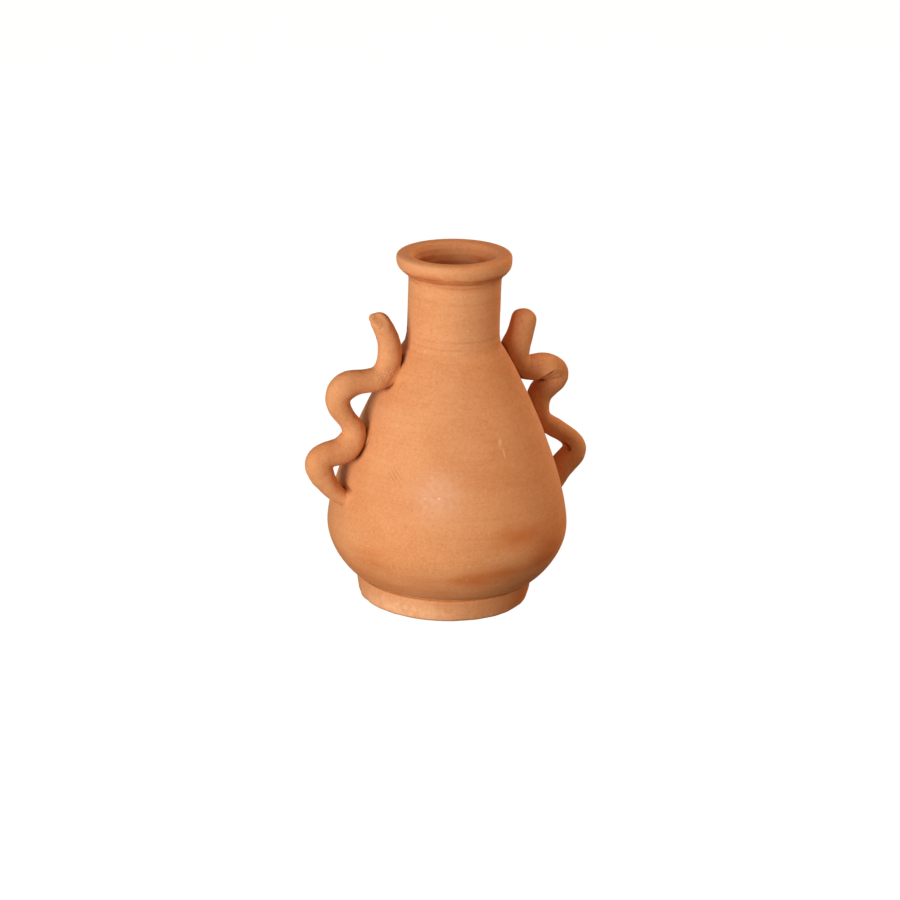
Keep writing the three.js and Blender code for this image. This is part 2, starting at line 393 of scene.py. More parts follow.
def belly_outline():
    """Belly as an outline from the middle of its underside round to the middle of its floor."""
    floor_top = BELLY_BASE + FLOOR
    outside = spaced(FINE_STEP, BELLY_WALL)
    along = np.gradient(outside, axis=0)
    along /= np.linalg.norm(along, axis=1)[:, None]
    inside = outside + WALL * np.stack([-along[:, 1], along[:, 0]], axis=1)
    inside = inside[inside[:, 1] > floor_top + FLOOR_ROUND][::-1]
    foot_of_wall = inside[-1]
    corner = bezier(
        foot_of_wall,
        (foot_of_wall[0] - FLOOR_ROUND / 2, floor_top),
        (foot_of_wall[0] - 2 * FLOOR_ROUND, floor_top),
    )
    underside = spaced(COARSE_STEP, [(0, BELLY_BASE), (BELLY_BASE_RADIUS - FINE_STEP, BELLY_BASE)])
    collar = bezier(
        (NECK_RADIUS, NECK_JOINT - SEAM_ROUND),
        (NECK_RADIUS, NECK_JOINT),
        (NECK_RADIUS - COLLAR_LAND, NECK_JOINT),
    )
    hollow = spaced(COARSE_STEP, [(BORE_RADIUS, NECK_JOINT)], inside, corner, [(0, floor_top)])
    return np.vstack([underside, outside, spaced(FINE_STEP, collar)[1:], hollow])


def neck_outline():
    """Neck tube and rolled lip as a closed outline."""
    mouth = BORE_RADIUS + MOUTH_OPENING
    lip_base = VASE_HEIGHT - LIP_DEPTH
    lip_top = (LIP_RADIUS + mouth) / 2
    throat = VASE_HEIGHT - MOUTH_DEPTH
    seam = NECK_BASE + SEAM_ROUND
    outside = spaced(
        FINE_STEP / 2,
        bezier((NECK_RADIUS - SEAM_ROUND, NECK_BASE), (NECK_RADIUS, NECK_BASE), (NECK_RADIUS, seam)),
        bezier(
            (NECK_RADIUS, lip_base),
            (NECK_RADIUS, lip_base + LIP_COVE),
            (LIP_RADIUS, lip_base + LIP_COVE / 2),
            (LIP_RADIUS, VASE_HEIGHT - LIP_ROLL),
        ),
        bezier((LIP_RADIUS, VASE_HEIGHT - LIP_ROLL), (LIP_RADIUS, VASE_HEIGHT), (lip_top, VASE_HEIGHT)),
        bezier((lip_top, VASE_HEIGHT), (mouth, VASE_HEIGHT), (mouth, VASE_HEIGHT - MOUTH_ROLL)),
        bezier(
            (mouth, VASE_HEIGHT - MOUTH_ROLL),
            ((mouth + BORE_RADIUS) / 2, VASE_HEIGHT - MOUTH_DEPTH / 2),
            (BORE_RADIUS, throat),
        ),
    )
    inside = spaced(FINE_STEP, [(BORE_RADIUS, throat), (BORE_RADIUS, NECK_BASE)])
    return np.vstack([outside, inside[1:]])


def slip_outline(inner, outer, rounding, smear, bottom, top):
    """Thin ring of slip in a joint, as a closed outline; it laps over the wall by smear, up and down."""
    edge = outer - rounding
    low = bottom - smear
    high = top + smear
    bulge = spaced(FINE_STEP / 4, bezier((edge, low), (outer, low), (outer, high), (edge, high)))
    throat = edge - rounding
    film = [(throat, top), (inner, top), (inner, bottom), (throat, bottom)]
    return np.vstack([bulge, film])


# Turned pieces

def worked(points):
    """Moves a turned wall in and out, as thrown clay strays from a true round."""
    flat = points * RIDGE_STRETCH
    push = WALL_STRAY * clay_noise(points, WALL_STRAY_SIZE, STRAY_SEED)
    push += BROAD_RIDGE * clay_noise(flat, BROAD_RIDGE_SIZE, BROAD_RIDGE_SEED)
    push += FINE_RIDGE * clay_noise(flat, FINE_RIDGE_SIZE, FINE_RIDGE_SEED)
    radius = axis_radius(points)
    return widened(points, 1 + push * smooth_step(radius / NECK_RADIUS) / np.maximum(radius, NEAR_AXIS))


def turned_points(outline):
    """Rows of points round the axis, one row for each point of an outline."""
    turn = np.linspace(0, 2 * math.pi, SEGMENTS, endpoint=False)
    radius, height = outline.T
    x = np.outer(radius, np.cos(turn))
    y = np.outer(radius, np.sin(turn))
    z = np.outer(height, np.ones(SEGMENTS))
    return np.stack([x, y, z], axis=2).reshape(-1, 3)


def band_faces(rows, sides, closed):
    """Four-sided faces between neighbouring rows of points; closed joins the last row to the first."""
    count = rows if closed else rows - 1
    row, side = np.meshgrid(np.arange(count), np.arange(sides), indexing="ij")
    here = row * sides
    ahead = ((row + 1) % rows) * sides
    beside = (side + 1) % sides
    faces = np.stack([here + side, here + beside, ahead + beside, ahead + side], axis=2)
    return faces.reshape(-1, 4).tolist()


def capped(points, faces, sides, first, last):
    """Closes both ends of a tube with a fan of faces to a middle point."""
    start, end = len(points), len(points) + 1
    final_row = len(points) - sides
    for side in range(sides):
        beside = (side + 1) % sides
        faces.append([start, beside, side])
        faces.append([end, final_row + side, final_row + beside])
    return np.vstack([points, first, last]), faces


def lip_leaned(points):
    """Tips the lip up a little on the camera's right and shifts it to the left, as it was thrown by hand."""
    share = smooth_step((points[:, 2] - VASE_HEIGHT + LIP_DEPTH) / LIP_DEPTH)
    reach = points @ CAMERA_RIGHT / LIP_RADIUS
    leaned = points - np.outer(LIP_SHIFT * share, CAMERA_RIGHT)
    leaned[:, 2] += LIP_TILT * share * reach
    return leaned


def foot_leaned(points):
    """Shifts the foot ring to the camera's left, and wears its bottom edge on the right."""
    radius = axis_radius(points)
    azimuth = np.degrees(np.arctan2(points[:, 1], points[:, 0]))
    low = smooth_step(1 - points[:, 2] / WEAR_HEIGHT)
    outside = smooth_step((radius - FOOT_RADIUS + FOOT_WALL) / FOOT_WALL)
    wear = WEAR_DEPTH * low * outside * hump(azimuth, WEAR_AZIMUTH, WEAR_HALF_ANGLE)
    wear += CHIP_DEPTH * low * outside * np.maximum(clay_noise(points, CHIP_SIZE, CHIP_SEED), 0)
    return widened(points, 1 - wear / radius) - FOOT_SHIFT * CAMERA_RIGHT


def neck_lines(points):
    """Cuts the tool lines into the outside of the neck, and throwing rings into its bore."""
    radius = axis_radius(points)
    height = points[:, 2]
    variation = clay_noise(points * LINE_STRETCH, LINE_VARIATION_SIZE, LINE_SEED)
    cut = np.zeros(len(points))
    for level, depth, half_width in NECK_LINES:
        cut += depth * hump(height, level, half_width)
    wander = THROWING_WANDER * clay_noise(points, THROWING_WANDER_SIZE, THROWING_SEED)
    rings = np.sin(2 * math.pi * height / THROWING_PITCH + wander)
    lines = -cut * (LINE_SHARE + LINE_VARIATION * variation)
    push = np.where(radius > NECK_RADIUS - NECK_SKIN, lines, THROWING_DEPTH * rings)
    return widened(points, 1 + push / radius)


# Coil handles

def station_points(stations, side):
    """Stations as rows of x, height and swell; side is LEFT or RIGHT."""
    rows = []
    for drop, reach, swell in stations:
        height = NECK_JOINT - drop
        if reach is PRESSED:
            reach = (COIL_RADIUS + swell - PRESS_DEPTH) / math.cos(wall_lean(height))
        rows.append((side * (wall_radius(height) + reach), height, swell))
    return np.array(rows)


def catmull_rom(stops, steps):
    """Points along a centripetal Catmull-Rom curve through its stops."""
    stops = np.vstack([2 * stops[0] - stops[1], stops, 2 * stops[-1] - stops[-2]])
    spans = []
    for before, near, far, after in zip(stops, stops[1:], stops[2:], stops[3:]):
        at_near = math.dist(before, near) ** 0.5
        at_far = at_near + math.dist(near, far) ** 0.5
        at_after = at_far + math.dist(far, after) ** 0.5
        run = at_far - at_near
        place = np.linspace(at_near, at_far, steps, endpoint=False)[:, None]
        leading = before + (near - before) * place / at_near
        middle = near + (far - near) * (place - at_near) / run
        trailing = far + (after - far) * (place - at_far) / (at_after - at_far)
        early = leading + (middle - leading) * place / at_far
        late = middle + (trailing - middle) * (place - at_near) / (at_after - at_near)
        spans.append(early + (late - early) * (place - at_near) / run)
    return np.vstack([*spans, stops[-2]])


def coil_line(stations, side):
    """Smooth centre line of a coil: its first row, then a row of x, height and swell for each ring, and each
    ring's distance along it."""
    line = evenly(catmull_rom(station_points(stations, side), CURVE_STEPS), BEND_SAMPLES)
    for _ in range(BEND_PASSES):
        line[1:-1] = (line[:-2] + 2 * line[1:-1] + line[2:]) / 4
    fine = catmull_rom(line, CURVE_STEPS)
    runs = np.linalg.norm(np.diff(fine[:, :2], axis=0), axis=1)
    along = np.concatenate([[0], np.cumsum(runs)])
    quarter = np.linspace(0, math.pi / 2, TIP_RINGS)[1:]
    tip = COIL_RADIUS * (1 - np.cos(quarter))
    run = np.linspace(COIL_RADIUS, along[-1], round((along[-1] - COIL_RADIUS) / COIL_STEP))[1:]
    places = np.concatenate([tip, run])
    rings = np.stack([np.interp(places, along, column) for column in fine.T], axis=1)
    return fine[0], rings, places


def coil_tube(stations, sways, side):
    """Tube swept along a coil, closed at both ends, as points and faces."""
    start, rings, places = coil_line(stations, side)
    centre, swell = rings[:, :2], rings[:, 2]
    tangent = np.gradient(centre, places, axis=0)
    tangent /= np.linalg.norm(tangent, axis=1)[:, None]
    normal = np.stack([tangent[:, 1], -tangent[:, 0]], axis=1)
    rounded = np.sqrt(1 - np.maximum(1 - places / COIL_RADIUS, 0) ** TIP_BLUNTNESS)
    turn = np.linspace(0, 2 * math.pi, COIL_SIDES, endpoint=False)
    wide = np.outer((COIL_RADIUS + swell) * rounded, np.cos(turn))
    deep = np.outer((COIL_RADIUS + swell / 2) * rounded, np.sin(turn))
    x = centre[:, :1] + normal[:, :1] * wide
    z = centre[:, 1:] + normal[:, 1:] * wide
    sway = np.zeros(len(places))
    for along, half_length, back in sways:
        sway += back * hump(places, along, half_length)
    points = np.stack([x, deep + sway[:, None], z], axis=2).reshape(-1, 3)
    first = (start[0], sway[0], start[1])
    last = (centre[-1, 0], sway[-1], centre[-1, 1])
    return capped(points, band_faces(len(rings), COIL_SIDES, False), COIL_SIDES, first, last)


def melted(points, faces):
    """One clean skin round a tube whose tight folds overlap: its points, their normals and its faces."""
    mesh = bpy.data.meshes.new("rough_coil")
    mesh.from_pydata(points.tolist(), [], faces)
    rough = bpy.data.objects.new("rough_coil", mesh)
    bpy.context.scene.collection.objects.link(rough)
    skin = rough.modifiers.new("skin", "REMESH")
    skin.mode = "VOXEL"
    skin.voxel_size = COIL_VOXEL
    easing = rough.modifiers.new("easing", "SMOOTH")
    easing.iterations = COIL_EASING
    ready = rough.evaluated_get(bpy.context.evaluated_depsgraph_get())
    clean = bpy.data.meshes.new_from_object(ready)
    points = np.array([vertex.co for vertex in clean.vertices])
    normals = np.array([vertex.normal for vertex in clean.vertices])
    faces = [list(face.vertices) for face in clean.polygons]
    bpy.data.objects.remove(rough)
    for spent in (mesh, clean):
        bpy.data.meshes.remove(spent)
    return points, normals, faces


def pressed_on(points):
    """Flattens a coil where it meets the wall, with its face just under the wall's surface."""
    least = wall_radius(points[:, 2]) - EMBED
    return widened(points, np.maximum(least / np.maximum(axis_radius(points), NEAR_AXIS), 1))


def smeared(points, outward, joints):
    """Spreads the foot of a coil along the wall at each of its joints."""
    radius = axis_radius(points)
    above_wall = radius - wall_radius(points[:, 2])
    reach = np.zeros(len(points))
    for drop, smear, _ in joints.values():
        reach += smear * hump(points[:, 2], NECK_JOINT - drop, SMEAR_SPAN)
    reach *= np.clip(1 - above_wall / SMEAR_HEIGHT, 0, 1) ** 2
    wall_normal = points * (1, 1, 0) / radius[:, None]
    sideways = outward - wall_normal * (outward * wall_normal).sum(axis=1)[:, None]
    return points + sideways * reach[:, None]


def dents_at(points, dents):
    """How deep each point of a coil is pressed in by its dents, each with a low rim, and its painted shade.
    """
    total = np.zeros(len(points))
    dent_shade = np.zeros(len(points))
    for middle, direction, half_length, half_width, depth, shaded in dents:
        offset = points - np.array(middle)
        long_way = np.array(direction) / np.linalg.norm(direction)
        along = offset @ long_way
        across = np.linalg.norm(offset - np.outer(along, long_way), axis=1)
        share = np.hypot(along / half_length, across / half_width)
        pressed = np.exp(-share ** DENT_SQUARENESS)
        dent_shade = np.maximum(dent_shade, shaded * pressed)
        total += depth * pressed
        total -= RIM_SHARE * max(depth, 0) * hump(share, RIM_PLACE, RIM_HALF_WIDTH)
    return total, dent_shade


def slip_mound_points(drop, half_width, side, seed):
    """Low mound of smeared slip on the wall: rings of points on its top, then on its underside."""
    height = NECK_JOINT - drop
    turn = np.linspace(0, 2 * math.pi, MOUND_SIDES, endpoint=False)
    share = np.linspace(1, MOUND_RINGS, MOUND_RINGS)[:, None] / MOUND_RINGS
    rim = np.stack([np.cos(turn), np.sin(turn), np.full(MOUND_SIDES, float(seed))], axis=1)
    uneven = 1 + MOUND_VARIATION * clay_noise(rim, MOUND_VARIATION_SIZE, seed)
    up = share * uneven * MOUND_HALF_HEIGHT * np.cos(turn)
    across = share * uneven * half_width * np.sin(turn)
    level = height + up * math.cos(wall_lean(height))
    base = wall_radius(level)
    azimuth = across / base
    wall = np.stack([side * base * np.cos(azimuth), base * np.sin(azimuth), level], axis=2)
    wall = worked(wall.reshape(-1, 3))
    rise = (MOUND_RISE * (1 - share ** 2) ** MOUND_STEEPNESS - MOUND_SINK) * np.ones(MOUND_SIDES)
    outward = wall * (1, 1, 0) / axis_radius(wall)[:, None]
    top = wall + outward * rise.reshape(-1, 1)
    underside = wall - outward * EMBED
    order = np.arange(MOUND_RINGS * MOUND_SIDES).reshape(MOUND_RINGS, MOUND_SIDES)
    crown = top[order[0]].mean(axis=0)
    root = underside[order[0]].mean(axis=0)
    return np.vstack([top, underside[order[::-1].ravel()]]), crown, root


# Pieces

def add_piece(node, points, faces, slot, material, dent_shade=None):
    """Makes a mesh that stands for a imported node, and puts it on the vase."""
    mesh = bpy.data.meshes.new(f"{node}_clay")
    mesh.from_pydata((points * MM).tolist(), [], faces)
    shaped = bmesh.new()
    shaped.from_mesh(mesh)
    bmesh.ops.recalc_face_normals(shaped, faces=shaped.faces)
    shaped.to_mesh(mesh)
    shaped.free()
    mesh.shade_smooth()
    mesh.materials.append(material)
    # Painted shade in dents and folds, kept on the points for the coil's material
    if dent_shade is not None:
        layer = mesh.attributes.new("dent_shade", "FLOAT", "POINT")
        layer.data.foreach_set("value", dent_shade.astype(np.float32))
    piece = bpy.data.objects.new(f"{node}_clay", mesh)
    bpy.context.scene.collection.objects.link(piece)
    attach(piece, "root")
    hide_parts(node)


def add_turned(node, outline, slot, material, *shapers):
    """Turns a closed outline into a piece, worked by hand and then by any further shapers."""
    points = worked(turned_points(outline))
    for shaper in shapers:
        points = shaper(points)
    add_piece(node, points, band_faces(len(outline), SEGMENTS, True), slot, material)


def add_belly(material):
    """The belly, whose outline starts and ends on the axis."""
    outline = belly_outline()
    points = worked(turned_points(outline[1:-1]))
    faces = band_faces(len(outline) - 2, SEGMENTS, False)
    under = (0, 0, outline[0, 1])
    floor = (0, 0, outline[-1, 1])
    add_piece("belly", *capped(points, faces, SEGMENTS, under, floor), "terracotta", material)


def add_foot(material, slip):
    """The foot ring and the slip that joins it to the belly."""
    inner = FOOT_RADIUS - FOOT_WALL
    outer = FOOT_RADIUS - SLIP_SETBACK
    joint = slip_outline(inner, outer, SLIP_SETBACK, 0, FOOT_HEIGHT, BELLY_BASE)
    add_turned("foot_ring", foot_outline(), "terracotta", material, foot_leaned)
    add_turned("foot_joint_slip", joint, "slip", slip)


def add_neck(material):
    """The neck with its lip and the slip under it, which was wiped over with the neck's clay."""
    outer = NECK_RADIUS + SLIP_RIDGE
    joint = slip_outline(BORE_RADIUS, outer, 2 * SLIP_RIDGE, SLIP_SMEAR, NECK_JOINT, NECK_BASE)
    add_turned("neck_joint_slip", joint, "slip", material)
    add_turned("neck_with_lip", neck_outline(), "terracotta", material, neck_lines, lip_leaned)


def add_handle(name, stations, sways, joints, dents, side, seed, material, slip):
    """A coil handle and the slip at each of its joints."""
    points, outward, faces = melted(*coil_tube(stations, sways, side))
    lumps = COIL_LUMP * clay_noise(points, COIL_LUMP_SIZE, seed)
    nicks = COIL_NICK * clay_noise(points, COIL_NICK_SIZE, seed + 1)
    dent, dent_shade = dents_at(points, dents)
    rolled = points + outward * (lumps + nicks - dent)[:, None]
    add_piece(name, pressed_on(smeared(rolled, outward, joints)), faces, "coil_clay", material, dent_shade)
    for joint_seed, (place, (drop, _, half_width)) in enumerate(joints.items(), seed + 2):
        mound, crown, root = slip_mound_points(drop, half_width, side, joint_seed)
        faces = band_faces(2 * MOUND_RINGS, MOUND_SIDES, False)
        add_piece(f"{name}_{place}_slip", *capped(mound, faces, MOUND_SIDES, crown, root), "slip", slip)


# Colours

def srgb(red, green, blue):
    """A colour from its 0 to 255 screen values."""
    shares = [value / 255 for value in (red, green, blue)]
    linear = [s / 12.92 if s <= 0.04045 else ((s + 0.055) / 1.055) ** 2.4 for s in shares]
    return (*linear, 1)


PALE_CLAY = srgb(229, 161, 109)
DEEP_CLAY = srgb(220, 148, 95)
COIL_PALE = srgb(232, 164, 114)
COIL_DEEP = srgb(221, 150, 99)
WIPED_CLAY = srgb(236, 174, 126)
# Burnished clay, also used as painted shade under the lip, in the bore and in low patches
BURNISHED_AND_SHADED_CLAY = srgb(206, 111, 51)
BLOOM_AND_LIGHT = srgb(233, 178, 147)
POWDER_AND_LIGHT = srgb(252, 194, 148)
LIME_SPECK = srgb(246, 212, 178)
IRON_SPECK = srgb(170, 100, 56)
# Soiled clay for scrapes and grit, also used as painted shade in the neck's lines
SOILED_AND_SHADED_CLAY = srgb(150, 78, 36)
# Painted shade, laid into creases, dents, folds, the bore and the mouth
PAINTED_SHADE = srgb(112, 40, 6)

# Noises in each clay: lumps per millimetre along each axis, and how many finer layers each has
BODY_NOISES = {
    "broad": ((0.022, 0.022, 0.03), 3),
    "wiped": ((0.012, 0.012, 0.2), 4),
    "fine_wiped": ((0.03, 0.03, 1.2), 2),
    "brushed": ((0.9, 0.9, 0.035), 2),
    "mottle": ((0.3, 0.3, 0.3), 4),
    "grain": ((0.7, 0.7, 0.9), 2),
    "smear": ((0.035, 0.035, 0.12), 4),
}
COIL_NOISES = {
    "broad": ((0.06, 0.06, 0.06), 3),
    "mottle": ((0.3, 0.3, 0.3), 4),
    "grain": ((0.8, 0.8, 0.8), 2),
    "pits": ((1, 1, 1), 2),
}
SLIP_NOISES = {
    "broad": ((0.12, 0.12, 0.4), 4),
    "grit": ((0.9, 0.9, 0.9), 3),
}
FINE_GRAIN = ((1.6, 1.6, 1.6), 3)
NOISE_ROUGHNESS = 0.6

# Tints that the noises bring in, from the first to the last: noise, where it starts, where it is full,
# its largest share and its colour
BODY_TINTS = [
    ("wiped", 0.5, 0.75, 0.25, WIPED_CLAY),
    ("wiped", 0.5, 0.25, 0.12, BURNISHED_AND_SHADED_CLAY),
    ("fine_wiped", 0.55, 0.3, 0.12, BURNISHED_AND_SHADED_CLAY),
    ("brushed", 0.5, 0.75, 0.2, WIPED_CLAY),
    ("mottle", 0.5, 0.8, 0.16, BURNISHED_AND_SHADED_CLAY),
    ("grain", 0.5, 0.75, 0.4, WIPED_CLAY),
    ("grain", 0.5, 0.25, 0.3, BURNISHED_AND_SHADED_CLAY),
]
COIL_TINTS = [
    ("grain", 0.5, 0.75, 0.3, WIPED_CLAY),
    ("grain", 0.5, 0.25, 0.3, BURNISHED_AND_SHADED_CLAY),
    ("mottle", 0.5, 0.75, 0.3, WIPED_CLAY),
    ("mottle", 0.45, 0.25, 0.25, BURNISHED_AND_SHADED_CLAY),
]
SLIP_TINTS = [("grit", 0.5, 0.8, 0.2, SOILED_AND_SHADED_CLAY)]

# Relief of each clay: how many millimetres each noise or kind of speck stands up
FINE_GRAIN_RELIEF = 0.07
BODY_RELIEF = {"wiped": 0.06, "fine_wiped": 0.03, "brushed": 0.03, "lime": 0.06, "iron": -0.08}
COIL_RELIEF = {"mottle": 0.3, "grain": 0.2, "torn": 0.9, "iron": -0.12}
SLIP_RELIEF = {"broad": 0.25, "grit": 0.12}

# Specks: how many per millimetre along each axis, their radius as a share of their spacing, and the share
# of them that shows
BODY_LIME = ((0.3, 0.3, 0.5), 0.14, 0.3)
BODY_CHIPS = ((0.16, 0.16, 0.2), 0.12, 0.5)
BODY_IRON = ((0.35, 0.35, 0.35), 0.1, 0.3)
COIL_LIME = ((0.4, 0.4, 0.4), 0.14, 0.25)
COIL_IRON = ((0.4, 0.4, 0.4), 0.12, 0.25)

# How strongly specks tint the clay, and how much of a speck's radius is at full strength
BODY_IRON_SHARE = 0.3
COIL_LIME_SHARE = 0.25
COIL_IRON_SHARE = 0.35
SPECK_CORE = 0.5

# Patches on the vase: middle, half sizes and, where it is turned, its turn in radians
# Pale powder on the foot's front and left, partly real and partly painted light
POWDER_AND_LIGHT_SPOT = ((-38, -28, 4), (54, 54, 12))
# A pale bloom, partly real and partly painted light on the belly's lit front-left
BLOOM_AND_LIGHT_SPOT = ((-32, -52, 78), (27, 20, 22), (0, 0, 0.4))
# Painted shade on the far inner wall of the mouth
BORE_SHADE_SPOT = ((-14, 14, 186), (17, 17, 17))
TORN_SPOT = ((-44, -6, 134), (10, 10, 12))
# Painted shade in the crease behind the left coil's lower end
CREASE_SHADE_SPOT = ((-63.3, -1.5, 70), (5, 8, 3.5))
# Darker, redder patches low down: partly burnishing, partly painted shade on the right side and foot
BURNISHED_AND_SHADED_SPOTS = [
    ((4, -66, 33), (24, 16, 9)),
    ((-16, -64, 31), (20, 14, 7)),
    ((10, -66, 54), (28, 18, 11)),
    ((34, -56, 40), (24, 24, 16)),
    ((34, -36, 8), (24, 24, 14)),
    ((-60, -30, 38), (16, 22, 9)),
]
PALE_MARKS = [
    ((26, -58.5, 30), (0.8, 2, 5.5), (0, 0.75, 0)),
    ((6.7, -49.6, 104.5), (1.6, 2.5, 4), (0, 0.2, 0)),
    ((8.2, -51.6, 98.5), (0.8, 3, 6), (0, -0.1, 0)),
]

# How strongly the pale marks and the painted shade in the left lower slip's crease tint the clay
PALE_MARK_SHARE = 0.55
CREASE_SHADE_SHARE = 0.8

# Short slanting scrapes on the left of the belly, each a step from the one before
SCRAPE_COUNT = 3
SCRAPE_START = (-49.2, -30.2, 84.6)
SCRAPE_STEP = (1.25, -0.93, 1.4)
SCRAPE_HALF_SIZES = (0.5, 3, 6)
SCRAPE_TILT = (-0.87, -0.32, 0)
SCRAPE_SHARE = 0.3

# Tooled band under the lip, darker partly with painted shade, and painted shade in the neck's lines: the
# depth of a line that would be fully shaded, and how much wider the shade is than the cut
TOOLED_SHADED_LEVEL = 190
TOOLED_SHADED_HALF_WIDTH = 7
FULLY_SHADED_DEPTH = 0.6
LINE_SHADE_WIDTH = 1.5

# How noises and the bloom (partly painted light) become shares: value at start and end, and share at each
PALER = (0.3, 0.7, 0, 1)
POWDERY_AND_LIT = (0.35, 0.65, 1, 0.5)
LOW_BAND_STREAKS = (0.3, 0.75, 0.1, 0.4)
STREAKY = (0.25, 0.7, 0.3, 0.8)
TOOL_STREAKS = (0.4, 0.6, 0.1, 0.9)
PATCHY = (0.35, 0.65, 0.25, 0.8)
LIME_IN_BLOOM_AND_LIGHT = (0, 0.5, 0.3, 0.8)
BODY_ROUGHNESS = (0.3, 0.7, 0.7, 0.86)
COIL_ROUGHNESS = (0.3, 0.7, 0.68, 0.84)
SLIP_ROUGHNESS = (0.3, 0.7, 0.76, 0.9)

# How heights and radii become shares: millimetres at the start and at the end, and the share at each
# A darker band low on the belly, just above the foot
LOW_BAND_FROM = (13, 22, 0, 1)
LOW_BAND_UP_TO = (26, 42, 1, 0)
BODY_SHEEN = (30, 90, 0.04, 0.3)
# Painted shade in creases: how strong it is from the foot up, and under the lip
CREASE_SHADE_ABOVE_FOOT = (20, 60, 0.35, 0.95)
CREASE_SHADE_BELOW_LIP = (155, 175, 1, 0.5)
# Painted shade in the bore and on the mouth's far inner wall
BORE_SHADE = (BORE_RADIUS + 0.2, BORE_RADIUS + 1.4, 0.15, 0)
BORE_SHADE_ABOVE = (150, 152, 0, 1)
BORE_SHADE_INSIDE = (BORE_RADIUS + 1, BORE_RADIUS + 4, 0.9, 0)

# Painted shade in creases: how near another surface has to be, how many rays look for it, and how openness
# becomes a share
CREASE_REACH = 4
CREASE_SAMPLES = 8
CREASE_SHADE = (0.2, 0.75, 1, 0)

# Sheen of the coils and of the slip
CLAY_SHEEN = 0.06


# Shader nodes

def add_node(tree, kind, inputs, **settings):
    """Adds a shader node. Inputs maps socket names to values or to the sockets that feed them."""
    node = tree.nodes.new(kind)
    for name, value in settings.items():
        setattr(node, name, value)
    for name, value in inputs.items():
        if isinstance(value, bpy.types.NodeSocket):
            tree.links.new(value, node.inputs[name])
        else:
            node.inputs[name].default_value = value
    return node


def maths(tree, operation, first, second):
    """One sum on two numbers."""
    return add_node(tree, "ShaderNodeMath", {0: first, 1: second}, operation=operation).outputs[0]


def mixed(tree, share, under, over):
    """A colour over another, by a share. Sockets 6 and 7 of the node take colours, and 2 gives one."""
    inputs = {"Factor": share, 6: under, 7: over}
    return add_node(tree, "ShaderNodeMix", inputs, data_type="RGBA").outputs[2]


def tinted(tree, colour, tint, mask, strength):
    """A colour with a tint laid over it where a mask shows, by a strength."""
    return mixed(tree, maths(tree, "MULTIPLY", mask, strength), colour, tint)


def eased(tree, value, start, end, low, high):
    """A number that runs smoothly from low to high as value goes from start to end."""
    inputs = {"Value": value, "From Min": start, "From Max": end, "To Min": low, "To Max": high}
    return add_node(tree, "ShaderNodeMapRange", inputs, interpolation_type="SMOOTHSTEP").outputs["Result"]


def clouds(tree, where, per_mm, detail):
    """Noise with its own number of lumps per millimetre along each axis."""
    place = add_node(tree, "ShaderNodeMapping", {"Vector": where, "Scale": per_mm}, vector_type="POINT")
    inputs = {"Vector": place.outputs["Vector"], "Scale": 1, "Detail": detail, "Roughness": NOISE_ROUGHNESS}
    return add_node(tree, "ShaderNodeTexNoise", inputs).outputs[0]


def level_ring(tree, height, level, half_width):
    """A soft level line round the vase, 1 at its level."""
    away = maths(tree, "ABSOLUTE", maths(tree, "SUBTRACT", height, level), 0)
    return eased(tree, away, 0, half_width, 1, 0)


def spot(tree, where, middle, half_sizes, tilt=(0, 0, 0)):
    """A soft oval patch, 1 in its middle and 0 outside its half sizes."""
    inputs = {"Vector": where, "Location": middle, "Rotation": tilt, "Scale": half_sizes}
    place = add_node(tree, "ShaderNodeMapping", inputs, vector_type="TEXTURE").outputs["Vector"]
    distance = add_node(tree, "ShaderNodeVectorMath", {0: place}, operation="LENGTH").outputs["Value"]
    return eased(tree, distance, 0, 1, 1, 0)


def specks(tree, where, per_mm, size, share):
    """Small grains: how many per millimetre along each axis, how large and what share of them shows."""
    place = add_node(tree, "ShaderNodeMapping", {"Vector": where, "Scale": per_mm}, vector_type="POINT")
    inputs = {"Vector": place.outputs["Vector"], "Scale": 1, "Randomness": 1}
    cells = add_node(tree, "ShaderNodeTexVoronoi", inputs, feature="F1")
    dot = eased(tree, cells.outputs["Distance"], size * SPECK_CORE, size, 1, 0)
    lot = add_node(tree, "ShaderNodeSeparateColor", {"Color": cells.outputs["Color"]}).outputs[0]
    shows = maths(tree, "LESS_THAN", lot, share)
    return maths(tree, "MULTIPLY", dot, shows)


def axis_distance(tree, where):
    """Distance from the vase's axis in millimetres."""
    flat = add_node(tree, "ShaderNodeVectorMath", {0: where, 1: (1, 1, 0)}, operation="MULTIPLY").outputs[0]
    return add_node(tree, "ShaderNodeVectorMath", {0: flat}, operation="LENGTH").outputs["Value"]


# Clay materials

def clay_material(name):
    """An empty material with its node tree, the place on the vase in millimetres and the height there."""
    material = bpy.data.materials.new(name)
    material.use_nodes = True
    tree = material.node_tree
    tree.nodes.clear()
    place = add_node(tree, "ShaderNodeTexCoord", {}).outputs["Object"]
    inputs = {"Vector": place, "Scale": (1 / MM, 1 / MM, 1 / MM)}
    where = add_node(tree, "ShaderNodeMapping", inputs, vector_type="POINT").outputs["Vector"]
    height = add_node(tree, "ShaderNodeSeparateXYZ", {"Vector": where}).outputs["Z"]
    return material, tree, where, height


def noise_layers(tree, where, noises):
    """One noise for each row of a clay's table."""
    return {name: clouds(tree, where, per_mm, detail) for name, (per_mm, detail) in noises.items()}


def layered_colour(tree, layers, deep, pale, tints):
    """Clay that runs from deep to pale with its broad noise and takes its tints from the others."""
    colour = mixed(tree, eased(tree, layers["broad"], *PALER), deep, pale)
    for name, start, full, share, tint in tints:
        colour = mixed(tree, eased(tree, layers[name], start, full, 0, share), colour, tint)
    return colour


